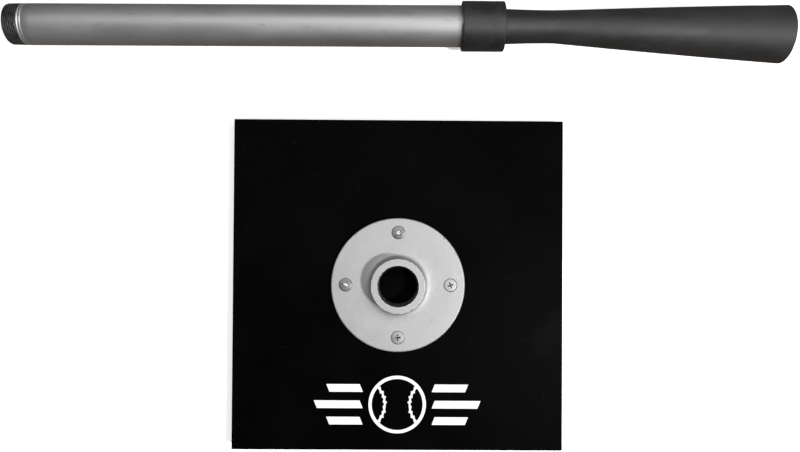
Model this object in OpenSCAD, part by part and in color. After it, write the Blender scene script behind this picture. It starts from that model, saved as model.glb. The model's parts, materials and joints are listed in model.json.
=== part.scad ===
// Batting tee, taken apart for carrying: a weighted base with a screwed-on pipe flange, and beside it
// the telescopic stem lying on its side, with the threaded end at -X and the rubber ball rest at +X.
// Millimetres. +Z is up. The origin is on the axis of the flange's socket, in the top face of the plate.

/* [Base plate] */
// Side of the square steel plate
plate_w = 345; // [300:1:400]
// Thickness of the plate
plate_t = 6.35; // [5:0.05:12]
// Height of a rubber foot, which the nuts under the plate have to clear
foot_h = 12; // [11:0.5:20]
// Widest diameter of a foot
foot_d = 30; // [26:1:36]
// Distance from the plate's edges to a foot's centre
foot_inset = 30; // [20:1:50]

/* [Pipe flange] */
// Outside diameter of the cast flange
flange_d = 139; // [128:0.5:150]
// Thickness of the flange at its edge
flange_t = 6; // [5:0.5:8]
// Outside diameter of the hub
hub_d = 55.4; // [50:0.2:60]
// Height of the hub's rim above the plate
hub_h = 27; // [24:0.5:36]
// Radius of the fillet between the hub and the flange
hub_fillet = 5; // [3:0.5:12]
// Diameter of the socket's thread at its pitch line
socket_d = 40.7; // [40.6:0.05:41.2]

/* [Flange screws] */
// Diameter of the circle that the four screws stand on
screw_circle_d = 109; // [104:0.5:112]
// Diameter of a countersunk head
screw_head_d = 13.4; // [11:0.1:14]
// Diameter of a screw's thread
screw_d = 6.2; // [5.5:0.1:6.6]
// Width of a nut across its flats
nut_w = 11.1; // [10:0.1:13]
// Height of a nut
nut_h = 5.6; // [4:0.1:6]
// Thickness of a split lock washer
washer_t = 1.6; // [1.2:0.1:2]

/* [Outer pipe] */
// Outside diameter of the pipe
pipe_od = 42.16; // [41.8:0.02:42.6]
// Inside diameter of the pipe
pipe_id = 35.05; // [34.8:0.05:35.4]
// Length of the pipe
pipe_l = 502.8; // [450:0.1:600]
// Length of the thread on its lower end
thread_l = 20; // [16:0.5:26]
// Diameter of that thread at its pitch line
thread_d = 40.4; // [40:0.05:40.5]

/* [Collar and upper bushing] */
// Outside diameter of the collar
collar_d = 50.9; // [48:0.1:58]
// Length of the collar
collar_l = 43.4; // [36:0.1:60]
// Thickness of the collar's end wall
collar_wall = 7; // [5:0.5:10]
// Length of the bushing inside the pipe's mouth
bushing_l = 30; // [20:1:40]

/* [Inner tube] */
// Outside diameter of the telescoping tube
tube_od = 28.58; // [28.2:0.02:28.8]
// Wall thickness of the tube
tube_wall = 1.65; // [1.2:0.05:2]
// Distance from the pipe's threaded end to the tube's lower end
tube_from = 55; // [45:1:80]
// Length of the guide bushing on the tube's lower end
guide_l = 30; // [26:1:40]
// Section diameter of a friction ring
ring_section = 2.5; // [2:0.1:2.6]

/* [Ball rest] */
// Length of the rubber ball rest
rest_l = 289.4; // [240:0.1:320]
// Diameter of its neck at the collar
neck_d = 35.6; // [34.5:0.1:37]
// Diameter of the neck where it is narrowest and bends
waist_d = 33.3; // [33:0.1:34]
// Distance from the neck's end to the waist
waist_at = 50; // [44:0.5:60]
// Diameter of the rim that the ball sits on
rim_d = 59.2; // [54:0.1:66]
// Wall thickness of the rubber
rubber_t = 4.2; // [3.5:0.1:5]
// Most that the rest bends to either side
flex = 18; // [10:1:20]
// Sideways set that the rubber has taken
rest_set = 1.6; // [0:0.1:3]

/* [Layout] */
// X of the stem's threaded end
stem_x = -404.6; // [-420:0.1:-380]
// Y of the stem's axis
stem_y = 269.3; // [250:1:300]

/* [Hidden] */
$fn = 96;
COUNT = 4;

over = 1;                        // how far a cutting shape runs past what it cuts
seat = 0.05;                     // gap between two parts of one body that fit together
play = 0.1;                      // gap between two parts that slide on each other
gap = 0.3;                       // gap between soft parts that move past each other

plate_bottom = -plate_t;
floor_z = plate_bottom - foot_h;
edge_r = 1.2;                    // rounding of the casting's outer edges
socket_rim = 1;                  // chamfer at the socket's mouth
screw_hole_d = screw_d + 0.6;
washer_z = plate_bottom - washer_t;
nut_z = washer_z - nut_h;
screw_tip_z = nut_z - 1;
recess_d = 6.4;                  // cross recess, across its arms
recess_w = 1.3;                  // width of one arm
recess_depth = 2.6;

foot_bore_d = 11;                // counterbore that hides the foot's screw
foot_web = 4.5;                  // rubber between the plate and that screw's head
foot_screw_d = 4.8;
foot_screw_grip = 4.5;           // length of screw inside the plate
foot_hole_spare = 0.5;           // how much deeper its blind hole is
foot_screw_head = 2.6;           // height of its head

mark_t = 0.15;                   // thickness of the printed ink
mark_y = -125;
mark_w = 174;
ball_d = 60;
ball_line = 3.4;                 // width of the ball's outline
seam_line = 1.8;
stitch_l = 7;
bar_h = 8;
bar_step = 17;                   // from one bar to the next
bar_inset = 13;                  // how much shorter the upper and lower bars are

bushing_lip = 3;                 // flange of the bushing, between the pipe's end and the collar's wall
collar_end = pipe_l + bushing_lip + collar_wall;
rest_from = collar_end + gap;
pivot = collar_end + waist_at;
stem_l = collar_end + rest_l;
tube_to = pivot - 7;
tube_r = tube_od / 2;
guide_r = pipe_id / 2 - play;
guide_lip = 3;                   // the part of the guide bushing that covers the tube's end
pin_d = 4;
pin_at = tube_from + guide_l / 2;
ring_at = [tube_from + 5, tube_from + guide_l - 5];
ring_r = guide_r + play / 2 - ring_section / 2;
groove_w = 1.2 * ring_section;

waist_r = waist_d / 2;
socket_r = waist_r + gap;
cone_from = pivot + socket_r * sin(flex) + gap;
rim_bead = 1.2;                  // rounding of the rim's edge
waist_ease = 0.02;               // share of the flare's length in which it leaves the waist
flare_belly = 0.04;              // how far the flare bulges past a straight cone
lean = atan((rim_d - pipe_od) / 2 / (stem_l - thread_l));
stem_z = floor_z + pipe_od / 2 * cos(lean) - thread_l * sin(lean);

// Puts a shape drawn up the Z axis, from the threaded end, along the stem as it lies on the floor.
module on_stem() {
    translate([stem_x, stem_y, stem_z]) rotate([0, 90 - lean, 0]) children();
}

// Turns a shape on the stem about the upright line through the waist, by the set in the rubber.
module with_set() {
    at = [stem_x + pivot * cos(lean), stem_y, 0];
    translate(at) rotate([0, 0, -rest_set]) translate(-at) children();
}

// A hollow cylinder up the Z axis.
module sleeve(outer_r, inner_r, from, to) {
    difference() {
        translate([0, 0, from]) cylinder(r = outer_r, h = to - from);
        translate([0, 0, from - over]) cylinder(r = inner_r, h = to - from + 2 * over);
    }
}

// Where screw number i stands on the flange.
module at_screw(i) {
    rotate([0, 0, 90 * (i - 1)]) translate([screw_circle_d / 2, 0, 0]) children();
}

// Where foot number i stands under the plate.
module at_foot(i) {
    reach = plate_w / 2 - foot_inset;
    rotate([0, 0, 90 * (i - 1)]) translate([reach, reach, floor_z]) children();
}

// The countersunk shape of a screw's head, and the straight hole or shank below it.
module countersink(head_d, shank_d, top, bottom) {
    depth = (head_d - shank_d) / 2;
    translate([0, 0, top - depth]) cylinder(d1 = shank_d, d2 = head_d, h = depth);
    translate([0, 0, bottom]) cylinder(d = shank_d, h = top - depth - bottom + 0.01);
}

module base_plate() {
    color([0.03, 0.03, 0.03]) difference() {
        translate([-plate_w / 2, -plate_w / 2, plate_bottom]) cube([plate_w, plate_w, plate_t]);
        for (i = [1:COUNT]) {
            at_screw(i) translate([0, 0, plate_bottom - over])
                cylinder(d = screw_hole_d, h = plate_t + 2 * over);
            at_foot(i) translate([0, 0, foot_h - over])
                cylinder(d = foot_screw_d + 2 * seat, h = over + foot_screw_grip + foot_hole_spare);
        }
    }
}

// Half section of the casting, from the socket's wall out to the rounded edge of the flange.
function flange_section() = let (
    socket_r = socket_d / 2,
    hub_r = hub_d / 2,
    fillet_r = hub_r + hub_fillet,
    edge = flange_d / 2
) concat(
    [[socket_r, 0], [edge, 0]],
    [for (a = [0:15:90]) [edge - edge_r + edge_r * cos(a), flange_t - edge_r + edge_r * sin(a)]],
    [for (a = [270:-10:180]) [fillet_r + hub_fillet * cos(a), flange_t + hub_fillet * (1 + sin(a))]],
    [for (a = [0:15:90]) [hub_r - edge_r + edge_r * cos(a), hub_h - edge_r + edge_r * sin(a)]],
    [[socket_r + socket_rim, hub_h], [socket_r, hub_h - socket_rim]]
);

module pipe_flange() {
    head_clear = screw_head_d + 0.4;
    color([0.72, 0.72, 0.73]) difference() {
        rotate_extrude() polygon(flange_section());
        for (i = [1:COUNT]) {
            at_screw(i) {
                countersink(head_clear, screw_hole_d, flange_t, -over);
                translate([0, 0, flange_t]) cylinder(d = head_clear, h = hub_fillet);
            }
        }
    }
}

// The cross that a screwdriver goes into, centred on the Z axis, from z = 0 up.
module cross_recess(depth) {
    for (turn = [0, 90]) {
        rotate([0, 0, turn]) translate([-recess_d / 2, -recess_w / 2, 0]) cube([recess_d, recess_w, depth]);
    }
}

module flange_screw(i) {
    color([0.66, 0.66, 0.67]) at_screw(i) difference() {
        countersink(screw_head_d, screw_d, flange_t, screw_tip_z);
        translate([0, 0, flange_t - recess_depth]) cross_recess(recess_depth + over);
    }
}

module lock_washer(i) {
    slit = 1;
    color([0.6, 0.6, 0.6]) at_screw(i) difference() {
        translate([0, 0, washer_z]) cylinder(d = nut_w + 0.4, h = washer_t);
        translate([0, 0, washer_z - over]) cylinder(d = screw_d + 2 * play, h = washer_t + 2 * over);
        translate([0, -slit / 2, washer_z - over]) cube([nut_w, slit, washer_t + 2 * over]);
    }
}

module hex_nut(i) {
    color([0.6, 0.6, 0.6]) at_screw(i) difference() {
        translate([0, 0, nut_z]) cylinder(d = nut_w / cos(30), h = nut_h, $fn = 6);
        translate([0, 0, nut_z - over]) cylinder(d = screw_d + 2 * seat, h = nut_h + 2 * over);
    }
}

module foot(i) {
    r = foot_d / 2;
    color([0.05, 0.05, 0.05]) at_foot(i) rotate_extrude() polygon([
        [foot_screw_d / 2 + seat, foot_h], [foot_screw_d / 2 + seat, foot_h - foot_web],
        [foot_bore_d / 2, foot_h - foot_web], [foot_bore_d / 2, 0],
        [r - 3.5, 0], [r - 2, 1], [r, foot_h - 1], [r - 1, foot_h]
    ]);
}

module foot_screw(i) {
    head_d = 9;
    head_z = foot_h - foot_web - foot_screw_head;
    color([0.6, 0.6, 0.6]) at_foot(i) difference() {
        union() {
            translate([0, 0, head_z]) cylinder(d = head_d, h = foot_screw_head);
            translate([0, 0, head_z + over])
                cylinder(d = foot_screw_d, h = foot_screw_head + foot_web + foot_screw_grip - over);
        }
        translate([0, 0, head_z - over]) cross_recess(over + foot_screw_head * 0.6);
    }
}

// One seam of the ball: an arc that bows towards the middle, crossed by short slanting stitches.
module seam() {
    seam_r = ball_d * 0.44;
    off = ball_d * 0.64;
    translate([off, 0]) {
        intersection() {
            difference() {
                circle(r = seam_r);
                circle(r = seam_r - seam_line);
            }
            translate([-off, 0]) circle(d = ball_d - ball_line);
        }
        for (a = [-36:12:36]) {
            rotate(180 + a) translate([seam_r - seam_line / 2, 0]) rotate(a > 0 ? 60 : -60)
                square([stitch_l, 1.4], center = true);
        }
    }
}

// A slanted bar of the given length that starts beside the ball.
module bar(length) {
    slant = bar_h * 0.4;
    polygon([[0, -bar_h / 2], [slant, bar_h / 2], [length, bar_h / 2], [length - slant, -bar_h / 2]]);
}

// A plain printed ball with its seams, between two stacks of bars.
module printed_mark() {
    bar_from = ball_d / 2 + 6;
    color([0.95, 0.95, 0.95]) translate([0, mark_y, 0]) linear_extrude(mark_t) {
        difference() {
            circle(d = ball_d);
            circle(d = ball_d - 2 * ball_line);
        }
        for (side = [0, 1]) {
            mirror([side, 0]) {
                seam();
                for (row = [-1:1]) {
                    translate([bar_from, row * bar_step]) bar(mark_w / 2 - bar_from - bar_inset * abs(row));
                }
            }
        }
    }
}

module outer_pipe() {
    color([0.62, 0.63, 0.65]) on_stem() difference() {
        union() {
            cylinder(d = thread_d, h = thread_l + over);
            translate([0, 0, thread_l]) cylinder(d = pipe_od, h = pipe_l - thread_l);
        }
        translate([0, 0, -over]) cylinder(d = pipe_id, h = pipe_l + 2 * over);
    }
}

module collar() {
    r = collar_d / 2;
    from = collar_end - collar_l;
    inner = pipe_od / 2 + seat;
    lip = tube_r + 2.5 * play;
    shoulder = collar_end - collar_wall;
    edge = 0.8;
    color([0.08, 0.08, 0.08]) on_stem() rotate_extrude() polygon([
        [inner, from], [r - edge, from], [r, from + edge],
        [r, collar_end - edge], [r - edge, collar_end],
        [lip, collar_end], [lip, shoulder], [inner, shoulder]
    ]);
}

module upper_bushing() {
    bore = tube_r + play;
    color([0.85, 0.85, 0.8]) on_stem() {
        sleeve(pipe_id / 2 - seat, bore, pipe_l - bushing_l, pipe_l + bushing_lip / 2);
        sleeve(pipe_od / 2, bore, pipe_l, pipe_l + bushing_lip);
    }
}

module inner_tube() {
    color([0.7, 0.7, 0.72]) on_stem() difference() {
        sleeve(tube_r, tube_r - tube_wall, tube_from, tube_to);
        translate([0, 0, pin_at]) rotate([0, 90, 0]) cylinder(d = pin_d, h = pipe_od, center = true);
    }
}

module guide_bushing() {
    color([0.85, 0.85, 0.8]) on_stem() difference() {
        union() {
            sleeve(guide_r, tube_r + seat, tube_from, tube_from + guide_l);
            sleeve(guide_r, tube_r - tube_wall, tube_from - guide_lip, tube_from);
        }
        for (z = ring_at) {
            sleeve(guide_r + over, ring_r - ring_section / 2, z - groove_w / 2, z + groove_w / 2);
        }
        translate([0, 0, pin_at]) rotate([0, 90, 0]) cylinder(d = pin_d, h = pipe_od, center = true);
    }
}

module guide_pin() {
    color([0.5, 0.5, 0.5]) on_stem() translate([0, 0, pin_at]) rotate([0, 90, 0])
        cylinder(d = pin_d - 2 * seat, h = 2 * guide_r - 1, center = true);
}

module friction_ring(i) {
    color([0.1, 0.1, 0.1]) on_stem() translate([0, 0, ring_at[i - 1]]) rotate_extrude()
        translate([ring_r, 0]) circle(d = ring_section, $fn = 24);
}

// Outside radius of the rubber at distance z from the threaded end: a smooth waist, then a long flare.
function rest_r(z) = let (
    rim_r = rim_d / 2,
    u = (z - collar_end) / waist_at,
    v = (z - pivot) / (stem_l - pivot),
    straight = (sqrt(v * v + waist_ease * waist_ease) - waist_ease) / (1 - waist_ease),
    flare = straight + flare_belly * sin(180 * v)
) z < pivot
    ? waist_r + (neck_d / 2 - waist_r) * pow(1 - u, 2)
    : waist_r + (rim_r - waist_r) * flare;

module rest_sleeve() {
    steps = 8;
    bore_r = waist_r - rubber_t;
    at = [for (k = [0:steps]) rest_from + (pivot - rest_from) * k / steps];
    color([0.1, 0.1, 0.1]) on_stem() difference() {
        union() {
            rotate_extrude() polygon(concat(
                [[tube_r, rest_from]],
                [for (z = at) [rest_r(z), z]],
                [[bore_r, pivot], [bore_r, tube_to], [tube_r, tube_to]]
            ));
            translate([0, 0, pivot]) intersection() {
                sphere(r = waist_r);
                cylinder(r = waist_r + over, h = waist_r + over);
            }
        }
        translate([0, 0, pivot - over]) cylinder(r = bore_r, h = 2 * waist_r);
    }
}

module rest_cone() {
    steps = 12;
    at = [for (k = [0:steps]) cone_from + (stem_l - rim_bead - cone_from) * k / steps];
    rim_r = rest_r(stem_l) - rim_bead / 2;
    lip_r = rest_r(stem_l) - rubber_t + rim_bead / 2;
    color([0.1, 0.1, 0.1]) with_set() on_stem() difference() {
        rotate_extrude() polygon(concat(
            [for (z = at) [rest_r(z), z]],
            [[rim_r, stem_l], [lip_r, stem_l]],
            [for (k = [steps:-1:0]) [rest_r(at[k]) - rubber_t, at[k]]]
        ));
        translate([0, 0, pivot]) sphere(r = socket_r);
    }
}

base_plate();
pipe_flange();
printed_mark();
outer_pipe();
collar();
upper_bushing();
inner_tube();
guide_bushing();
guide_pin();
rest_sleeve();
rest_cone();
for (i = [1:2]) friction_ring(i);
for (i = [1:COUNT]) flange_screw(i);
for (i = [1:COUNT]) lock_washer(i);
for (i = [1:COUNT]) hex_nut(i);
for (i = [1:COUNT]) foot(i);
for (i = [1:COUNT]) foot_screw(i);
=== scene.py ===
"""Batting tee, taken apart: a steel base with a cast pipe flange, and the telescopic stem beside it.

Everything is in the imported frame: +Z up, origin on the socket's axis in the plate's top face.
Outlines are in millimetres, and the meshes that are made from them are in metres.
"""
import json
import math

import bmesh
import bpy
from mathutils import Matrix, Vector


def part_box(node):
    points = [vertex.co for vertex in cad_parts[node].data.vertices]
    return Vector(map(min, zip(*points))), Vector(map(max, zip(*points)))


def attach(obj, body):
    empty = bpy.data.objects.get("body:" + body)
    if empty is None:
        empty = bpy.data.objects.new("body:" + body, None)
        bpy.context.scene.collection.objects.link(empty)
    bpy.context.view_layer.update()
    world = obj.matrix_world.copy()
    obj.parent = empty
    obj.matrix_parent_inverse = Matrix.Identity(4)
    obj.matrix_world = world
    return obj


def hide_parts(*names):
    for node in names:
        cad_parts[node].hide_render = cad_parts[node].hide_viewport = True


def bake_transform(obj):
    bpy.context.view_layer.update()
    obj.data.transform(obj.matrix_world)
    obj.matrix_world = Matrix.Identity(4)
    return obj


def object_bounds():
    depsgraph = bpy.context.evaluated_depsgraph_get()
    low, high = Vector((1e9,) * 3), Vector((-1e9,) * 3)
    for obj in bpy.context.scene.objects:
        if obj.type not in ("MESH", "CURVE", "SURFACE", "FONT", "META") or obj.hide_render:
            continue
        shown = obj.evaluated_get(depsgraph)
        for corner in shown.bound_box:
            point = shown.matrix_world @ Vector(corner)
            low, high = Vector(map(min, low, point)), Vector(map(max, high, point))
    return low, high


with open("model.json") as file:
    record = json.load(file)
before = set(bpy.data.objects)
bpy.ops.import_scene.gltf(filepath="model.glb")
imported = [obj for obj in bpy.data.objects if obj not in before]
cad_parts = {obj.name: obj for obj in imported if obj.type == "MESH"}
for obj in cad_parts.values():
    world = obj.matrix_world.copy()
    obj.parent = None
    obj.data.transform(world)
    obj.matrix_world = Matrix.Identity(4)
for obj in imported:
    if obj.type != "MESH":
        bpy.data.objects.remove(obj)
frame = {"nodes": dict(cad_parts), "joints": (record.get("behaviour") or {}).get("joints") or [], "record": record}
cad_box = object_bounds()

MM = 0.001
TURN = 2 * math.pi
SEGMENTS = 128                      # around a large round piece
FINE = 32                           # around a small one
SHARP = math.radians(38)            # edges that fold more than this stay crisp

# Where things are, from the frame. Lengths are in millimetres.
MOUNTS = {m["name"]: m for m in frame["record"]["mounts"]}
JOINTS = {j["name"]: j for j in frame["joints"]}
PLATE_LOW, PLATE_HIGH = (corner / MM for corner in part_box("base_plate"))
FLANGE_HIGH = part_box("pipe_flange")[1] / MM
FLOOR_Z = cad_box[0].z
STEM_AXIS = Vector(JOINTS["height_adjust"]["axis"])
PIVOT = Vector(JOINTS["top_flex"]["pos_m"])
THREAD_MID = Vector(MOUNTS["stem_thread"]["pos_m"])
THREAD_L = MOUNTS["stem_thread"]["dims"]["length_mm"]
STEM_END = THREAD_MID - STEM_AXIS * THREAD_L / 2 * MM


def stem_matrix():
    """Puts a piece drawn up the Z axis, from the threaded end, along the stem as it lies."""
    across = Vector((0, 1, 0)).cross(STEM_AXIS)
    turn = Matrix((across, (0, 1, 0), STEM_AXIS)).transposed().to_4x4()
    return Matrix.Translation(STEM_END) @ turn


STEM = stem_matrix()


def span(node):
    """Where a CAD node on the stem starts and ends along the stem, and its largest radius."""
    points = [STEM.inverted() @ v.co / MM for v in frame["nodes"][node].data.vertices]
    heights = [p.z for p in points]
    return min(heights), max(heights), max(math.hypot(p.x, p.y) for p in points)


PIVOT_AT = (PIVOT - STEM_END).length / MM
_, PIPE_TO, PIPE_R = span("outer_pipe")
COLLAR_FROM, COLLAR_TO, COLLAR_R = span("collar")
_, TUBE_TO, TUBE_R = span("inner_tube")
REST_FROM = span("rest_sleeve")[0]
REST_TO = PIVOT_AT + (Vector(MOUNTS["ball_seat"]["pos_m"]) - PIVOT).length / MM

# Flange
HUB_R = 27.7
SOCKET_R = MOUNTS["stem_socket"]["dims"]["r_mm"]
FLANGE_T = 6.0
FILLET_EASE = 2.1                   # the hub's fillet flattens by a factor e over this distance
DISH = 0.3                          # the face lies this much lower by the hub
DISH_R = (36, 60)                   # and rises between these radii
SCREW_CIRCLE_R = 54.5
HEAD_R = 6.7
SHANK_R = 3.1
RECESS_R = 3.3                      # reach of the cross in a screw's head
NUT_R = 5.55                        # half the width across a nut's flats
PIPE_PITCH = 25.4 / 11.5            # 1-1/4 inch tapered pipe thread
SCREW_PITCH = 25.4 / 20

# Feet and their screws
FOOT_HOLE_R = 2.45
FOOT_SINK_R = 5.5
FOOT_SINK_FROM = 4.5                # the counterbore ends this far below the foot's top
FOOT_SHANK_R = 2.4

# Stem
PIPE_BORE_R = 17.525
COLLAR_LIP_R = 14.54
COLLAR_WALL = 7

# Rubber ball rest
RUBBER_T = 4.2
NECK_R = 17.8
WAIST_R = 16.65
RIM_R = 29.52
REST_SET = math.radians(1.6)        # sideways set that the rubber has taken
BEND_BEFORE = 7                     # the rubber starts to bend this far before the pivot
BEND_AFTER = 15                     # and has turned all the way this far after it


# ---------------------------------------------------------------- meshes

def finish_mesh(name, bm, placed, materials):
    """A shown object from a bmesh in millimetres, with soft shading that breaks at sharp edges."""
    bmesh.ops.recalc_face_normals(bm, faces=bm.faces)
    mesh = bpy.data.meshes.new(name)
    bm.to_mesh(mesh)
    bm.free()
    mesh.transform(placed @ Matrix.Scale(MM, 4))
    mesh.polygons.foreach_set("use_smooth", [True] * len(mesh.polygons))
    mesh.set_sharp_from_angle(angle=SHARP)
    for material in materials:
        mesh.materials.append(material)
    piece = bpy.data.objects.new(name, mesh)
    bpy.context.scene.collection.objects.link(piece)
    return piece


def revolve(outline, segments=SEGMENTS, shift=None, zone=None):
    """A bmesh from a closed outline of (radius, height) points turned about the Z axis.

    shift(angle, radius, height) gives the point's final radius, and zone(radius, height) a face's
    material number. Points on the axis are merged into one.
    """
    bm = bmesh.new()
    rings = []
    for r, z in outline:
        ring = []
        for k in range(segments):
            a = TURN * k / segments
            shown_r = shift(a, r, z) if shift else r
            ring.append(bm.verts.new((shown_r * math.cos(a), shown_r * math.sin(a), z)))
        rings.append(ring)
    for i, ring in enumerate(rings):
        after = rings[(i + 1) % len(rings)]
        on_axis = outline[i][0] == 0 and outline[(i + 1) % len(outline)][0] == 0
        for k in range(segments):
            j = (k + 1) % segments
            if not on_axis:
                face = bm.faces.new((ring[k], ring[j], after[j], after[k]))
                face.material_index = zone(*outline[i]) if zone else 0
    bmesh.ops.remove_doubles(bm, verts=bm.verts, dist=1e-5)
    return bm


def arc(centre, radius, start, end, steps):
    """Points (r, z) along an arc in an outline, with the angles in degrees."""
    angles = [math.radians(start + (end - start) * k / steps) for k in range(steps + 1)]
    return [(centre[0] + radius * math.cos(a), centre[1] + radius * math.sin(a)) for a in angles]


def steps_between(start, end, step):
    """Evenly spaced numbers from start to end, both included, about step apart."""
    count = max(1, round(abs(end - start) / step))
    return [start + (end - start) * k / count for k in range(count + 1)]


def thread_wave(angle, z, pitch):
    """0 at a helical thread's root and 1 at its crest, with narrow flats on both."""
    phase = (z / pitch - angle / TURN) % 1
    ramp = 1 - abs(2 * phase - 1)
    return min(1, max(0, (ramp - 0.12) / 0.76))


def carve(piece, cutters):
    """Cuts each cutter, an object of its own, out of a piece."""
    for cutter in cutters:
        cut = piece.modifiers.new("cut", "BOOLEAN")
        cut.object = cutter
        cut.operation = "DIFFERENCE"
        cut.solver = "EXACT"
    bpy.context.view_layer.update()
    shown = piece.evaluated_get(bpy.context.evaluated_depsgraph_get())
    mesh = bpy.data.meshes.new_from_object(shown)
    piece.modifiers.clear()
    piece.data = mesh
    for cutter in cutters:
        bpy.data.objects.remove(cutter)
    bm = bmesh.new()
    bm.from_mesh(mesh)
    bmesh.ops.remove_doubles(bm, verts=bm.verts, dist=1e-7)
    bmesh.ops.dissolve_degenerate(bm, edges=bm.edges, dist=1e-7)
    bm.to_mesh(mesh)
    bm.free()
    mesh.polygons.foreach_set("use_smooth", [True] * len(mesh.polygons))
    mesh.set_sharp_from_angle(angle=SHARP)
    return piece


def place(piece, body, slot, *nodes):
    """The piece rides on a body and stands for some CAD nodes, which are hidden; slot is not used."""
    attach(piece, body)
    if nodes:
        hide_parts(*nodes)
    return piece


def around_flange(i):
    """Where screw number i, from 1, stands."""
    return Matrix.Rotation(TURN * (i - 1) / 4, 4, "Z") @ Matrix.Translation((SCREW_CIRCLE_R * MM, 0, 0))


# ---------------------------------------------------------------- materials

class Paint:
    """A Principled material, and short ways to add the nodes that vary it."""

    def __init__(self, name, **constants):
        self.material = bpy.data.materials.new(name)
        self.material.use_nodes = True
        self.tree = self.material.node_tree
        self.shader = self.tree.nodes["Principled BSDF"]
        for socket, value in constants.items():
            self.shader.inputs[socket.replace("_", " ")].default_value = value
        self.where = self.tree.nodes.new("ShaderNodeTexCoord").outputs["Object"]
        self.heights = []

    def node(self, kind, links=(), **properties):
        """A node with its properties, and (socket, value or output) pairs for its inputs."""
        made = self.tree.nodes.new("ShaderNode" + kind)
        for key, value in properties.items():
            setattr(made, key, value)
        for socket, value in links:
            if isinstance(value, bpy.types.NodeSocket):
                self.tree.links.new(value, made.inputs[socket])
            else:
                made.inputs[socket].default_value = value
        return made

    def grain(self, size, stretch=(1, 1, 1), detail=2.0, offset=0.0):
        """Cloudy noise from 0 to 1 whose blotches are about size millimetres across."""
        scale = [s / size for s in stretch]
        at = self.node("Mapping", [("Vector", self.where), ("Location", (offset,) * 3),
                                   ("Scale", [s / MM for s in scale])]).outputs[0]
        return self.node("TexNoise", [("Vector", at), ("Scale", 1.0), ("Detail", detail)]).outputs[0]

    def cells(self, size, offset=0.0):
        """Distance to scattered points about size millimetres apart."""
        at = self.node("Mapping", [("Vector", self.where), ("Location", (offset,) * 3),
                                   ("Scale", [1 / size / MM] * 3)]).outputs[0]
        return self.node("TexVoronoi", [("Vector", at), ("Scale", 1.0)]).outputs["Distance"]

    def axis(self, name):
        """One of the object's coordinates, in metres."""
        return self.node("SeparateXYZ", [(0, self.where)]).outputs[name]

    def from_hub(self):
        """Distance in metres from the socket's axis."""
        flat = self.node("VectorMath", [(0, self.where), (1, (1, 1, 0))], operation="MULTIPLY").outputs[0]
        return self.node("VectorMath", [(0, flat)], operation="LENGTH").outputs["Value"]

    def from_stem(self):
        """Distance in metres from the stem's axis."""
        tip = self.node("VectorMath", [(0, self.where), (1, STEM_END)], operation="SUBTRACT").outputs[0]
        cross = self.node("VectorMath", [(0, tip), (1, STEM_AXIS)], operation="CROSS_PRODUCT").outputs[0]
        return self.node("VectorMath", [(0, cross)], operation="LENGTH").outputs["Value"]

    def math(self, operation, a, b=0.0):
        """One arithmetic step."""
        return self.node("Math", [(0, a), (1, b)], operation=operation).outputs[0]

    def ramp(self, value, low, high, to_low=0.0, to_high=1.0):
        """Carries low..high smoothly over to to_low..to_high."""
        links = [("Value", value), ("From Min", low), ("From Max", high),
                 ("To Min", to_low), ("To Max", to_high)]
        return self.node("MapRange", links, interpolation_type="SMOOTHSTEP").outputs[0]

    def mix(self, share, a, b):
        """A colour between a and b."""
        links = [(0, share), (6, a), (7, b)]
        return self.node("Mix", links, data_type="RGBA").outputs[2]

    def use(self, socket, output):
        """Sends an output to one of the shader's inputs."""
        self.tree.links.new(output, self.shader.inputs[socket])

    def bump(self, height, depth, strength=1.0):
        """Adds fine relief, depth millimetres deep, on top of what is there already."""
        links = [("Height", height), ("Distance", depth * MM), ("Strength", strength)]
        if self.heights:
            links.append(("Normal", self.heights[-1]))
        self.heights.append(self.node("Bump", links).outputs[0])
        self.use("Normal", self.heights[-1])


def grey(value, warm=0.0):
    """A neutral colour, or a slightly brown one."""
    return (value * (1 + warm), value, value * (1 - warm), 1)


def plate_black():
    """Satin black powder coat with faint haze, fine scratches, dust and lightly worn edges."""
    paint = Paint("plate_black", Specular_IOR_Level=0.01)
    haze = paint.ramp(paint.grain(90, detail=4), 0.35, 0.7)
    base = paint.mix(haze, grey(0.0008), grey(0.0017))
    scratch_a = paint.ramp(paint.grain(1.0, (0.02, 1.6, 1), 1, 3.0), 0.74, 0.8)
    scratch_b = paint.ramp(paint.grain(1.3, (1.4, 0.03, 1), 1, 9.0), 0.76, 0.82)
    scratches = paint.math("MAXIMUM", scratch_a, scratch_b)
    base = paint.mix(paint.math("MULTIPLY", scratches, 0.5), base, grey(0.012))
    dust = paint.ramp(paint.cells(6), 0.075, 0.05)
    some = paint.ramp(paint.grain(40, detail=3, offset=5.0), 0.55, 0.7)
    base = paint.mix(paint.math("MULTIPLY", dust, some), base, grey(0.035, 0.05))
    half = PLATE_HIGH.x * MM
    reach = paint.math("MAXIMUM", paint.math("ABSOLUTE", paint.axis("X")),
                       paint.math("ABSOLUTE", paint.axis("Y")))
    edge = paint.ramp(reach, half - 0.9 * MM, half - 0.2 * MM)
    worn = paint.math("MULTIPLY", edge, paint.ramp(paint.grain(4, detail=4), 0.56, 0.66))
    paint.use("Base Color", paint.mix(worn, base, grey(0.06)))
    paint.use("Roughness", paint.ramp(haze, 0, 1, 0.42, 0.55))
    paint.bump(paint.grain(1.6), 0.02)
    return paint.material


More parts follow.
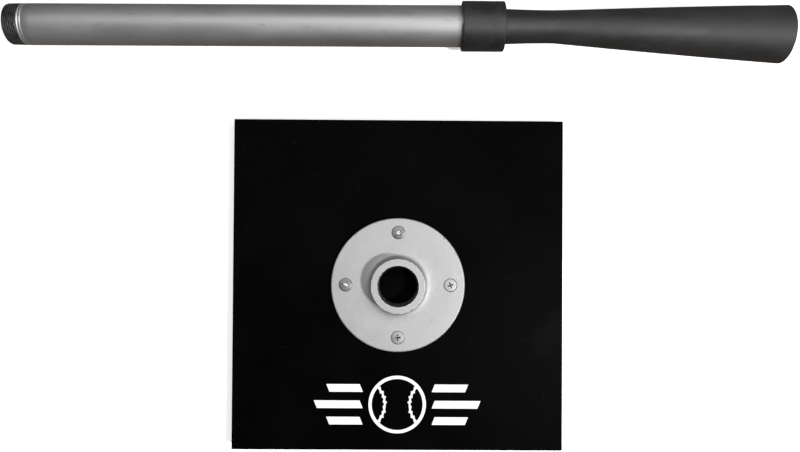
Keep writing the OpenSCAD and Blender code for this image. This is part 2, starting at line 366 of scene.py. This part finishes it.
def cast_silver():
    """Aluminium paint over a sand casting: fine grain, soft mottling, darker towards the bottom edge, a few chips,
    and hub rim edges rubbed bright with a painted highlight along them.
    """
    paint = Paint("cast_silver", Metallic=0.6, Specular_IOR_Level=0.5)
    mottle = paint.ramp(paint.grain(14, detail=5), 0.3, 0.7)
    base = paint.mix(mottle, grey(0.315), grey(0.34))
    fleck = paint.ramp(paint.grain(0.5, detail=1, offset=2.0), 0.62, 0.72)
    base = paint.mix(paint.math("MULTIPLY", fleck, 0.35), base, grey(0.62))
    # Darker towards the bottom edge, where the casting stands on the plate.
    low = paint.ramp(paint.axis("Z"), 1.2 * MM, 0.2 * MM)
    base = paint.mix(paint.math("MULTIPLY", low, 0.6), base, grey(0.1, 0.04))
    chip = paint.ramp(paint.grain(1.5, detail=5, offset=1.3), 0.62, 0.66)
    rare = paint.ramp(paint.grain(22, detail=2, offset=8.0), 0.62, 0.68)
    base = paint.mix(paint.math("MULTIPLY", chip, rare), base, grey(0.16))
    edge_r = FLANGE_HIGH.x * MM
    nick = paint.ramp(paint.grain(1.3, detail=3, offset=6.2), 0.60, 0.64)
    nick = paint.math("MULTIPLY", nick, paint.ramp(paint.from_hub(), edge_r - 2.2 * MM, edge_r - 1.2 * MM))
    some = paint.ramp(paint.grain(16, detail=2, offset=3.0), 0.52, 0.6)
    base = paint.mix(paint.math("MULTIPLY", nick, some), base, grey(0.05))
    # The hub rim's two edges are much lighter: rubbed bare metal, and a painted highlight along them.
    outer = paint.ramp(paint.from_hub(), (HUB_R - 0.7) * MM, (HUB_R - 0.3) * MM)
    inner = paint.ramp(paint.from_hub(), (SOCKET_R + 1.15) * MM, (SOCKET_R + 0.8) * MM)
    rim = paint.ramp(paint.axis("Z"), (FLANGE_HIGH.z - 1) * MM, (FLANGE_HIGH.z - 0.5) * MM)
    rubbed_and_highlight = paint.math("MULTIPLY", rim, paint.math("MAXIMUM", outer, inner))
    patchy = paint.ramp(paint.grain(2.5, detail=4, offset=7.0), 0.42, 0.56)
    base = paint.mix(paint.math("MULTIPLY", rubbed_and_highlight, patchy), base, grey(0.75))
    paint.use("Base Color", base)
    paint.use("Roughness", paint.ramp(mottle, 0, 1, 0.50, 0.56))
    paint.bump(paint.grain(2.6, detail=3), 0.10)
    paint.bump(paint.grain(0.6, detail=2, offset=4.0), 0.035)
    return paint.material


def socket_steel():
    """The flange's cut thread: dark, slightly oily iron."""
    paint = Paint("socket_steel", Metallic=0.5)
    film = paint.ramp(paint.grain(3, detail=3), 0.35, 0.65)
    paint.use("Base Color", paint.mix(film, grey(0.015, 0.05), grey(0.04)))
    paint.use("Roughness", paint.ramp(film, 0, 1, 0.35, 0.55))
    paint.bump(paint.grain(0.4), 0.02)
    return paint.material


def ink_white():
    """Screen-printed white ink: a faint weave of pinholes and a slightly raised, dry surface."""
    paint = Paint("ink_white", Specular_IOR_Level=0.3)
    thin = paint.ramp(paint.grain(0.9, detail=3), 0.60, 0.74)
    cloud = paint.ramp(paint.grain(12, detail=3), 0.3, 0.7)
    base = paint.mix(cloud, grey(0.80), grey(0.88))
    paint.use("Base Color", paint.mix(paint.math("MULTIPLY", thin, 0.25), base, grey(0.35)))
    paint.use("Roughness", paint.ramp(cloud, 0, 1, 0.5, 0.65))
    paint.bump(paint.grain(0.5), 0.02)
    return paint.material


def zinc(name, dark, light, rough, recess):
    """Zinc plate on a fastener, with cloudy spangle and small bright nicks; recess is a grey painted into a flange
    screw head's cross: a low value paints shade there, a high one a glint.
    """
    paint = Paint(name, Metallic=1.0)
    cloud = paint.ramp(paint.grain(2.2, detail=4), 0.3, 0.7)
    base = paint.mix(cloud, grey(dark), grey(light))
    nick = paint.ramp(paint.grain(0.5, (0.25, 2, 2), 1, 6.0), 0.66, 0.74)
    base = paint.mix(nick, base, grey(light * 1.5))
    # Painted light in the flange screws' cross recesses: the recess grey stands in for shade in the cross, or for
    # a glint in it.
    inside = paint.ramp(paint.axis("Z"), (FLANGE_T - 0.8) * MM, (FLANGE_T - 1.2) * MM)
    inside = paint.math("MULTIPLY", inside, paint.ramp(paint.axis("Z"), 0, MM))
    aside = paint.math("ABSOLUTE", paint.math("SUBTRACT", paint.from_hub(), SCREW_CIRCLE_R * MM))
    inside = paint.math("MULTIPLY", inside, paint.ramp(aside, (RECESS_R + 0.3) * MM, (RECESS_R - 0.3) * MM))
    paint.use("Base Color", paint.mix(inside, base, grey(recess)))
    paint.use("Roughness", paint.ramp(cloud, 0, 1, rough, rough + 0.08))
    paint.bump(paint.grain(0.7, detail=3), 0.012)
    return paint.material


def rubber(name, dark, light, size, rough):
    """Matte rubber: smudged and bloomed in clouds, over a fine moulded grain."""
    paint = Paint(name, Specular_IOR_Level=0.45)
    bloom = paint.ramp(paint.grain(size, (0.6, 1, 1), 4), 0.3, 0.72)
    base = paint.mix(bloom, grey(dark), grey(light))
    smudge = paint.ramp(paint.grain(size / 4, (0.5, 1.2, 1.2), 4, 7.0), 0.56, 0.7)
    base = paint.mix(paint.math("MULTIPLY", smudge, 0.5), base, grey(light * 1.5, 0.03))
    speck = paint.ramp(paint.cells(3.1), 0.11, 0.07)
    base = paint.mix(paint.math("MULTIPLY", speck, 0.5), base, grey(light * 2.2))
    paint.use("Base Color", base)
    paint.use("Roughness", paint.ramp(bloom, 0, 1, rough, rough + 0.1))
    paint.bump(paint.grain(5, detail=3), 0.05)
    paint.bump(paint.grain(0.45, detail=2), 0.02)
    return paint.material


def pipe_steel():
    """Silver-finished steel pipe: fine drawn lines along it, soft smudges, small dark specks, and painted shade
    just before the collar.
    """
    paint = Paint("pipe_steel", Metallic=0.85)
    lines = paint.grain(0.8, (0.02, 1, 1), 3)
    cloud = paint.ramp(paint.grain(30, (0.35, 1, 1), 4), 0.3, 0.72)
    base = paint.mix(cloud, grey(0.31), grey(0.36))
    base = paint.mix(paint.ramp(lines, 0.3, 0.7, 0.0, 0.25), base, grey(0.30))
    smudge = paint.ramp(paint.grain(7, (0.5, 1, 1), 4, 5.0), 0.62, 0.74)
    base = paint.mix(paint.math("MULTIPLY", smudge, 0.5), base, grey(0.22))
    speck = paint.ramp(paint.grain(1.6, detail=4, offset=3.4), 0.69, 0.74)
    base = paint.mix(paint.math("MULTIPLY", speck, 0.8), base, grey(0.08))
    # Painted shade: the pipe darkens over its last few millimetres before the collar, as if the collar's shadow
    # fell there.
    shade_from = (STEM_END + STEM_AXIS * (COLLAR_FROM - 7) * MM).x
    shade_to = (STEM_END + STEM_AXIS * (COLLAR_FROM - 1) * MM).x
    shade = paint.ramp(paint.axis("X"), shade_from, shade_to, 0.0, 0.6)
    paint.use("Base Color", paint.mix(shade, base, grey(0.10, 0.03)))
    paint.use("Roughness", paint.ramp(cloud, 0, 1, 0.50, 0.57))
    paint.bump(lines, 0.012)
    paint.bump(paint.grain(1.2, detail=3), 0.012)
    return paint.material


def thread_black():
    """The pipe's cut thread, blackened with dried cutting oil, its crests lighter as worn metal and as a painted
    highlight.
    """
    paint = Paint("thread_black", Metallic=0.3, Specular_IOR_Level=0.5)
    film = paint.ramp(paint.grain(3, detail=4), 0.35, 0.7)
    base = paint.mix(film, grey(0.012), grey(0.03))
    # Lighter crests: worn metal, and a painted highlight along the thread's crests.
    crest = paint.ramp(paint.from_stem(), (PIPE_R - 0.75) * MM, (PIPE_R - 0.3) * MM)
    worn = paint.math("MULTIPLY", crest, paint.ramp(paint.grain(5, detail=4, offset=2.0), 0.3, 0.6))
    paint.use("Base Color", paint.mix(worn, base, grey(0.075)))
    paint.use("Roughness", paint.ramp(film, 0, 1, 0.36, 0.5))
    paint.bump(paint.grain(0.5, detail=3), 0.03)
    return paint.material


def bare_steel():
    """Freshly cut steel where the thread runs out, with turning marks."""
    paint = Paint("bare_steel", Metallic=1.0)
    marks = paint.grain(0.5, (6, 0.2, 0.2), 2)
    paint.use("Base Color", paint.mix(paint.ramp(marks, 0.35, 0.65), grey(0.62), grey(0.85)))
    paint.use("Roughness", paint.ramp(marks, 0.3, 0.7, 0.42, 0.55))
    paint.bump(marks, 0.01)
    return paint.material


def collar_black():
    """Moulded matte plastic with a fine spark-eroded texture, faint rubs and handling marks."""
    paint = Paint("collar_black", Specular_IOR_Level=0.45)
    rub = paint.ramp(paint.grain(9, (1, 0.6, 0.6), 4), 0.35, 0.72)
    base = paint.mix(rub, grey(0.009), grey(0.014))
    mark = paint.ramp(paint.grain(1.2, (2, 0.3, 0.3), 3, 4.0), 0.64, 0.74)
    paint.use("Base Color", paint.mix(paint.math("MULTIPLY", mark, 0.5), base, grey(0.06)))
    paint.use("Roughness", paint.ramp(rub, 0, 1, 0.46, 0.58))
    paint.bump(paint.grain(0.55, detail=2), 0.03)
    return paint.material


def nylon():
    """Off-white nylon with a soft translucent look and grey rubbing marks."""
    paint = Paint("nylon", Subsurface_Weight=0.15, Subsurface_Scale=0.002)
    rub = paint.ramp(paint.grain(3, (0.2, 1, 1), 3), 0.5, 0.72)
    paint.use("Base Color", paint.mix(rub, (0.74, 0.72, 0.66, 1), (0.45, 0.44, 0.41, 1)))
    paint.use("Roughness", paint.ramp(rub, 0, 1, 0.4, 0.3))
    paint.bump(paint.grain(0.8), 0.02)
    return paint.material


def tube_steel():
    """Drawn steel tube, satin bright, with long sliding marks from the bushings."""
    paint = Paint("tube_steel", Metallic=1.0)
    lines = paint.grain(0.7, (0.01, 1, 1), 3)
    drag = paint.ramp(paint.grain(2.2, (0.012, 1, 1), 2, 6.0), 0.58, 0.68)
    base = paint.mix(paint.ramp(lines, 0.3, 0.7), grey(0.42), grey(0.55))
    paint.use("Base Color", paint.mix(paint.math("MULTIPLY", drag, 0.5), base, grey(0.25, 0.03)))
    paint.use("Roughness", paint.ramp(drag, 0, 1, 0.28, 0.42))
    paint.bump(lines, 0.008)
    return paint.material


def floor_pale():
    """Pale paper underfoot, which throws back only a dim, warm light, as the surroundings did."""
    paint = Paint("floor_pale", Roughness=0.9, Specular_IOR_Level=0.0)
    pale = paint.mix(paint.grain(400, detail=1), grey(0.93), grey(0.95))
    seen = paint.tree.nodes.new("ShaderNodeLightPath").outputs["Is Camera Ray"]
    paint.use("Base Color", paint.mix(seen, (0.15, 0.127, 0.108, 1), pale))
    paint.shader.inputs["Emission Color"].default_value = (1, 1, 1, 1)
    paint.use("Emission Strength", paint.math("MULTIPLY", seen, 0.42))
    return paint.material


MATERIALS = {
    "plate_black": plate_black(),
    "cast_silver": cast_silver(),
    "ink_white": ink_white(),
    # zinc_steel's low recess grey is painted shade in the flange screws' crosses.
    "zinc_steel": zinc("zinc_steel", 0.24, 0.32, 0.50, 0.12),
    "foot_rubber": rubber("foot_rubber", 0.012, 0.024, 8, 0.6),
    "pipe_steel": pipe_steel(),
    "collar_black": collar_black(),
    "nylon": nylon(),
    "tube_steel": tube_steel(),
    "ring_rubber": rubber("ring_rubber", 0.012, 0.02, 3, 0.4),
    "rest_rubber": rubber("rest_rubber", 0.010, 0.017, 26, 0.53),
}
# Two copies of the zinc for the flange screws: the second is darker all over, as painted shade, and light in its
# cross recess, as a painted glint.
SCREW_LIGHTING = {
    "zinc_steel": MATERIALS["zinc_steel"],
    "zinc_shade_and_glint": zinc("zinc_shade_and_glint", 0.15, 0.21, 0.37, 0.9),
}
SOCKET_STEEL = socket_steel()
THREAD_BLACK = thread_black()
BARE_STEEL = bare_steel()


# ---------------------------------------------------------------- the base

def drill(name, radius, low, high, at):
    """A round cutter."""
    bm = revolve([(0, low), (radius, low), (radius, high), (0, high)], FINE)
    return finish_mesh(name, bm, at, [])


def base_plate():
    """The steel plate, with broken edges and its drilled holes."""
    bm = bmesh.new()
    bmesh.ops.create_cube(bm, size=1)
    size = PLATE_HIGH - PLATE_LOW
    middle = (PLATE_HIGH + PLATE_LOW) / 2
    bmesh.ops.scale(bm, vec=size, verts=bm.verts)
    bmesh.ops.translate(bm, vec=middle, verts=bm.verts)
    bmesh.ops.bevel(bm, geom=list(bm.edges), offset=0.7, segments=4, affect="EDGES", profile=0.5)
    plate = finish_mesh("plate", bm, Matrix(), [MATERIALS["plate_black"]])
    cutters = [drill("hole", SHANK_R + 0.3, PLATE_LOW.z - 1, 1, around_flange(i)) for i in range(1, 5)]
    for i in range(1, 5):
        low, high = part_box(f"foot_screw_{i}")
        at = Matrix.Translation(((low.x + high.x) / 2, (low.y + high.y) / 2, 0))
        cutters.append(drill("hole", FOOT_HOLE_R, PLATE_LOW.z - 1, high.z / MM + 0.5, at))
    place(carve(plate, cutters), "base", "plate_black", "base_plate")


def flange_outline():
    """Closed half section of the casting, up its thread, over the hub and out to the rounded edge."""
    edge_r = FLANGE_HIGH.x
    rim_z = FLANGE_HIGH.z
    thread = [(SOCKET_R, z) for z in steps_between(0.4, rim_z - 1.0, 0.16)]
    mouth = [(SOCKET_R + 0.45, rim_z - 0.6), (SOCKET_R + 0.8, rim_z), (SOCKET_R + 1.2, rim_z)]
    rim = [(HUB_R - 1.2, rim_z)] + arc((HUB_R - 0.6, rim_z - 0.55), 0.55, 90, 5, 6)
    wall = [(HUB_R - 0.03, rim_z - 3), (HUB_R, rim_z - 10)]
    edge = arc((edge_r - 1.3, FLANGE_T - 1.3), 1.3, 90, 0, 7)
    under = [(edge_r, 0.5), (edge_r - 0.5, 0), (SOCKET_R + 0.5, 0)]
    return thread + mouth + rim + wall + hub_root(edge_r - 1.8) + edge + under


def hub_root(end_r):
    """The hub's fillet, which eases out into the face, and the face with its slight dish."""
    step = 0.6
    height = FLANGE_T
    points = []
    for r in reversed(steps_between(HUB_R + 0.12, end_r, step)):
        away = r - HUB_R
        slope = math.pi / 2 * math.exp(-away / FILLET_EASE) if away < 6 * FILLET_EASE else 0
        height += step * math.tan(slope)
        dish = DISH * (1 - smooth((r - DISH_R[0]) / (DISH_R[1] - DISH_R[0])))
        points.append((r, min(height, FLANGE_HIGH.z - 11) - dish))
    return points[::-1]


def smooth(share):
    """Eases from 0 to 1, and stays there outside."""
    t = min(1, max(0, share))
    return t * t * (3 - 2 * t)


def flange_radius(angle, r, z):
    """Adds the internal thread to the casting's bore."""
    if r > SOCKET_R + 0.01:
        return r
    fade = min(1, (FLANGE_HIGH.z - z) / 3)
    return r + 0.75 - 1.5 * thread_wave(angle, z, PIPE_PITCH) * fade


def pipe_flange():
    """The cast flange with its threaded socket and countersunk holes."""
    bm = revolve(flange_outline(), 192, flange_radius, lambda r, z: int(r <= SOCKET_R + 0.01))
    flange = finish_mesh("flange_casting", bm, Matrix(), [MATERIALS["cast_silver"], SOCKET_STEEL])
    sink = [(0, -1), (SHANK_R + 0.3, -1), (SHANK_R + 0.3, 2.3), (HEAD_R + 0.35, FLANGE_T - 0.75),
            (HEAD_R + 0.5, 12), (0, 12)]
    cutters = [finish_mesh("sink", revolve(sink, 64), around_flange(i), []) for i in range(1, 5)]
    place(carve(flange, cutters), "base", "cast_silver", "pipe_flange")


def cross_cutters(top, depth, reach, width, at):
    """The two tapered arms of the cross that a screwdriver fits, cut down from height top."""
    arms = []
    for turn in (0, TURN / 4):
        bm = bmesh.new()
        for share, z in ((0.36, top - depth), (1.0, top + 0.02), (1.0, top + 1)):
            x, y = reach / 2 * share, width / 2 * (0.7 + 0.3 * share)
            for corner in ((-x, -y), (x, -y), (x, y), (-x, y)):
                bm.verts.new((*corner, z))
        v = list(bm.verts)
        bm.faces.new((v[3], v[2], v[1], v[0]))
        bm.faces.new(v[8:12])
        for level in (0, 4):
            for k in range(4):
                j = (k + 1) % 4
                bm.faces.new((v[level + k], v[level + j], v[level + j + 4], v[level + k + 4]))
        arms.append(finish_mesh("arm", bm, at @ Matrix.Rotation(turn, 4, "Z"), []))
    return arms


def threaded(radius, depth, pitch, low, high):
    """A radius rule that cuts a thread between two heights of a shank."""
    def rule(angle, r, z):
        if not low < z < high or abs(r - radius) > 0.01:
            return r
        fade = min(1, (z - low) / pitch, (high - z) / pitch)
        return r - depth * fade * (1 - thread_wave(angle, z, pitch))
    return rule


def flange_screw(i, turn, tilt, screw_lighting):
    """A countersunk cross-recess machine screw, slightly domed, and tilted a little in its hole."""
    low, high = (corner.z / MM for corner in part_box(f"flange_screw_{i}"))
    cone_z = high - (HEAD_R - SHANK_R)
    shank = [(SHANK_R - 0.7, low), (SHANK_R, low + 0.7)]
    shank += [(SHANK_R, z) for z in steps_between(low + 0.8, cone_z - 1, 0.12)]
    dome = [(HEAD_R * s, high - 0.28 * s * s) for s in (0.95, 0.85, 0.7, 0.5, 0.25)]
    outline = [(0, low), *shank, (SHANK_R, cone_z), (HEAD_R - 0.1, high - 0.65), (HEAD_R, high - 0.53)]
    bm = revolve([*outline, *dome, (0, high)], 48, threaded(SHANK_R, 0.6, SCREW_PITCH, low, cone_z))
    tip = Matrix.Translation((0, 0, high * MM)) @ tilt @ Matrix.Translation((0, 0, -high * MM))
    at = around_flange(i) @ tip @ Matrix.Rotation(turn, 4, "Z")
    screw = finish_mesh(f"screw_{i}", bm, at, [screw_lighting])
    cutters = cross_cutters(high, 2.6, 6.4, 1.3, at)
    place(carve(screw, cutters), "base", "zinc_steel", f"flange_screw_{i}")


def hex_nut(i):
    """A hex nut with its corners chamfered on both faces."""
    low, high = (corner.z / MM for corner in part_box(f"hex_nut_{i}"))
    flat = NUT_R
    corner_r = flat / math.cos(TURN / 12)

    def rule(angle, r, z):
        if r < flat - 0.6:
            return r
        across = flat / math.cos((angle + TURN / 12) % (TURN / 6) - TURN / 12)
        cone = flat + 0.05 + 1.9 * min(z - low, high - z)
        return min(across, cone, corner_r)

    sides = [(flat, z) for z in steps_between(low, high, 0.28)]
    bore = SHANK_R + 0.04
    outline = [(bore + 0.5, low), (flat - 0.65, low), *sides, (flat - 0.65, high), (bore + 0.5, high),
               (bore, high - 0.5), (bore, low + 0.5)]
    nut = finish_mesh(f"nut_{i}", revolve(outline, 96, rule), around_flange(i), [MATERIALS["zinc_steel"]])
    place(nut, "base", "zinc_steel", f"hex_nut_{i}")


def foot(i):
    """A turned rubber foot with rounded edges, a waist groove and a counterbore for its screw."""
    low, high = (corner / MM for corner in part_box(f"foot_{i}"))
    r = (high.x - low.x) / 2
    height = high.z - low.z
    sink_z = height - FOOT_SINK_FROM
    outline = [(FOOT_HOLE_R, height), (FOOT_HOLE_R, sink_z), (FOOT_SINK_R, sink_z), (FOOT_SINK_R, 0.6)]
    outline += arc((FOOT_SINK_R + 0.6, 0.6), 0.6, 180, 270, 4) + arc((r - 3.4, 1.4), 1.4, 270, 340, 5)
    outline += [(r - 1.4, 3.2), (r - 1.2, 4.6), (r - 1.5, 5.0), (r - 1.5, 5.6), (r - 1.1, 6.0)]
    outline += [(r - 0.1, height - 1.8)] + arc((r - 0.9, height - 0.9), 0.9, 0, 90, 5)
    at = Matrix.Translation(((low.x + high.x) / 2 * MM, (low.y + high.y) / 2 * MM, low.z * MM))
    piece = finish_mesh(f"rubber_foot_{i}", revolve(outline, 64), at, [MATERIALS["foot_rubber"]])
    place(piece, "base", "foot_rubber", f"foot_{i}")


def foot_screw(i):
    """A pan-head screw that holds a foot, head down."""
    low, high = (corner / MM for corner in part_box(f"foot_screw_{i}"))
    head_r = (high.x - low.x) / 2
    shank_r = FOOT_SHANK_R
    height = high.z - low.z
    outline = [(0, 0), (head_r * 0.6, 0.1)] + arc((head_r - 1.4, 1.5), 1.4, 290, 360, 6)
    outline += [(head_r, 2.6), (shank_r, 2.6)]
    outline += [(shank_r, z) for z in steps_between(2.8, height - 0.6, 0.12)]
    outline += [(shank_r - 0.5, height), (0, height)]
    bm = revolve(outline, FINE, threaded(shank_r, 0.45, 0.8, 3.2, height - 0.5))
    at = Matrix.Translation(((low.x + high.x) / 2 * MM, (low.y + high.y) / 2 * MM, low.z * MM))
    screw = finish_mesh(f"small_screw_{i}", bm, at, [MATERIALS["zinc_steel"]])
    cutters = cross_cutters(0, 1.6, 4.6, 1.0, at @ Matrix.Rotation(math.pi, 4, "X"))
    place(carve(screw, cutters), "base", "zinc_steel", f"foot_screw_{i}")


# ---------------------------------------------------------------- the stem

BLACK_TO = 14.8                     # the blackened part of the pipe's thread ends here
BRIGHT_RINGS = (15.6, 18.6)         # middles of the two bright turns where it runs out


def thread_radius(angle, r, z):
    """The pipe's tapered thread, which fades out over its last turns."""
    if r < PIPE_R - 1 or z > THREAD_L:
        return r
    crest = PIPE_R - 0.02 - STEM_AXIS.z * (THREAD_L - z)
    if z > BLACK_TO:
        groove = 0.5 - 0.5 * math.cos(TURN * (z - BRIGHT_RINGS[0]) / (BRIGHT_RINGS[1] - BRIGHT_RINGS[0]))
        return crest - 0.45 * groove * (1 if z < BRIGHT_RINGS[1] else 0.6)
    start = min(1, z / 0.8)
    depth = 1.3 * start * min(1, (BLACK_TO - z) / PIPE_PITCH + 0.3)
    return crest - 0.4 * (1 - start) - depth * (1 - thread_wave(angle, z, PIPE_PITCH))


def pipe_zone(r, z):
    """Which of the pipe's three finishes a face has: its own, the black thread's or bright steel."""
    if r < 19 or z > THREAD_L - 0.05:
        return 0
    if z < BLACK_TO:
        return 1
    return 2 if abs(z - BRIGHT_RINGS[0]) < 0.55 or abs(z - BRIGHT_RINGS[1]) < 0.55 else 0


def outer_pipe():
    """The pipe with its cut thread, bright run-out turns and chamfered ends."""
    end, r, bore = PIPE_TO, PIPE_R, PIPE_BORE_R
    outline = [(bore, 0.5), (bore + 0.5, 0)]
    outline += [(r, z) for z in steps_between(0, THREAD_L, 0.15)]
    outline += [(r, z) for z in steps_between(THREAD_L + 0.6, end - 0.6, 8)]
    outline += [(r - 0.6, end), (bore + 0.5, end), (bore, end - 0.5)]
    bm = revolve(outline, SEGMENTS, thread_radius, pipe_zone)
    finishes = [MATERIALS["pipe_steel"], THREAD_BLACK, BARE_STEEL]
    place(finish_mesh("pipe", bm, STEM, finishes), "stem", "pipe_steel", "outer_pipe")


def collar():
    """The moulded collar, with rounded rims and its inner shoulder."""
    start, end, r = COLLAR_FROM, COLLAR_TO, COLLAR_R
    inner, lip = PIPE_R + 0.05, COLLAR_LIP_R
    wall_z = end - COLLAR_WALL
    outline = [(inner + 0.6, start)] + arc((r - 0.6, start + 0.6), 0.6, 270, 360, 5)
    outline += [(r, z) for z in steps_between(start + 2, end - 2, 5)]
    outline += arc((r - 1.3, end - 1.3), 1.3, 0, 90, 7)
    outline += [(lip + 0.6, end), (lip, end - 0.6), (lip, wall_z), (inner, wall_z), (inner, start + 0.6)]
    piece = finish_mesh("collar_ring", revolve(outline), STEM, [MATERIALS["collar_black"]])
    place(piece, "stem", "collar_black", "collar")


def rest_radius(z):
    """Outside radius of the rubber: it narrows to a smooth waist at the pivot, then flares."""
    if z < PIVOT_AT:
        u = (z - REST_FROM) / (PIVOT_AT - REST_FROM)
        return WAIST_R + (NECK_R - WAIST_R) * (1 - u) ** 2
    v = (z - PIVOT_AT) / (REST_TO - PIVOT_AT)
    ease = 0.02
    straight = (math.sqrt(v * v + ease * ease) - ease) / (1 - ease)
    return WAIST_R + (RIM_R - WAIST_R) * (straight + 0.04 * math.sin(math.pi * v))


def ball_rest():
    """One hollow rubber moulding from the collar to the rim, which bends at its waist."""
    tube_end, tube_r = TUBE_TO, TUBE_R
    bead = 0.7
    outside = [(rest_radius(z), z) for z in steps_between(REST_FROM + 0.5, REST_TO - bead, 2)]
    rim_in = RIM_R - RUBBER_T
    rim = arc((RIM_R - bead, REST_TO - bead), bead, 20, 90, 4)
    rim += arc((rim_in + bead, REST_TO - bead), bead, 90, 160, 4)
    inside = [(rest_radius(z) - RUBBER_T, z) for z in steps_between(REST_TO - bead, tube_end + 3, 2)]
    socket = [(WAIST_R - RUBBER_T, tube_end + 0.3), (tube_r + 0.04, tube_end + 0.3),
              (tube_r + 0.04, REST_FROM + 0.4), (tube_r + 0.4, REST_FROM), (NECK_R - 0.5, REST_FROM)]
    piece = finish_mesh("rubber_rest", revolve(outside + rim + inside + socket), STEM,
                        [MATERIALS["rest_rubber"]])
    bend_from = PIVOT - STEM_AXIS * BEND_BEFORE * MM
    for v in piece.data.vertices:
        along = (v.co - bend_from).dot(STEM_AXIS) / (BEND_BEFORE + BEND_AFTER) / MM
        turn = Matrix.Rotation(-REST_SET * smooth(along), 3, "Z")
        v.co = PIVOT + turn @ (v.co - PIVOT)
    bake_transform(piece)
    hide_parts("rest_sleeve", "rest_cone")


# ---------------------------------------------------------------- carried-over nodes

def repaint():
    """CAD nodes whose shape is right stay, with a better material."""
    kept = {
        "ink_white": ["printed_mark"],
        "zinc_steel": [f"lock_washer_{i}" for i in range(1, 5)] + ["guide_pin"],
        "nylon": ["upper_bushing", "guide_bushing"],
        "tube_steel": ["inner_tube"],
        "ring_rubber": ["friction_ring_1", "friction_ring_2"],
    }
    for material, nodes in kept.items():
        for node in nodes:
            mesh = frame["nodes"][node].data
            mesh.materials.clear()
            mesh.materials.append(MATERIALS[material])


# ---------------------------------------------------------------- floor, light and camera

def floor():
    """A wide pale floor that everything lies on."""
    bm = bmesh.new()
    bmesh.ops.create_grid(bm, x_segments=8, y_segments=8, size=12000)
    finish_mesh("floor", bm, Matrix.Translation((0, 0, FLOOR_Z)), [floor_pale()])


def softbox(name, location, target, size, power):
    """A square or oblong area light aimed at a point."""
    data = bpy.data.lights.new(name, "AREA")
    data.shape = "RECTANGLE"
    data.size, data.size_y = size
    data.energy = power
    lamp = bpy.data.objects.new(name, data)
    lamp.location = location
    lamp.rotation_euler = (Vector(target) - Vector(location)).to_track_quat("-Z", "Y").to_euler()
    bpy.context.scene.collection.objects.link(lamp)


def studio():
    """A soft key from the right, a broad overhead fill and an even pale surround."""
    softbox("key", (1.15, -0.53, 2.2), (0, 0.1, 0), (0.2, 0.2), 58)
    softbox("overhead", (-0.05, 0.72, 1.9), (0, 0.2, 0), (2.0, 0.7), 20)
    softbox("side", (1.7, -0.1, 0.6), (0, 0, 0), (0.6, 0.9), 8)
    world = bpy.data.worlds.new("surround")
    world.use_nodes = True
    world.node_tree.nodes["Background"].inputs["Color"].default_value = (1, 1, 1, 1)
    world.node_tree.nodes["Background"].inputs["Strength"].default_value = 0.20
    bpy.context.scene.world = world
    bpy.context.scene.view_settings.view_transform = "Standard"


def camera():
    """Almost straight down, from three quarters of a metre above the floor."""
    data = bpy.data.cameras.new("camera")
    data.lens = 31.254
    data.sensor_width = 36
    shot = bpy.data.objects.new("camera", data)
    shot.location = (-0.0029, 0.0523, 0.7273)
    shot.rotation_euler = (0.0124, -0.0065, 0.0064)
    bpy.context.scene.collection.objects.link(shot)
    bpy.context.scene.camera = shot


SCREW_SET = [                       # each screw's turn and lean, in degrees, and its zinc: plain, or darker with painted shade and a painted glint
    (20, 0.8, 1.2, "zinc_steel"),
    (38, -1.5, -1.0, "zinc_shade_and_glint"),
    (70, -1.0, -1.5, "zinc_shade_and_glint"),
    (5, 1.0, -1.0, "zinc_steel"),
]

base_plate()
pipe_flange()
for number, (turned, lean_x, lean_y, screw_lighting) in enumerate(SCREW_SET, 1):
    lean = Matrix.Rotation(math.radians(lean_x), 4, "X") @ Matrix.Rotation(math.radians(lean_y), 4, "Y")
    flange_screw(number, math.radians(turned), lean, SCREW_LIGHTING[screw_lighting])
    hex_nut(number)
    foot(number)
    foot_screw(number)
outer_pipe()
collar()
ball_rest()
repaint()
floor()
studio()
camera()
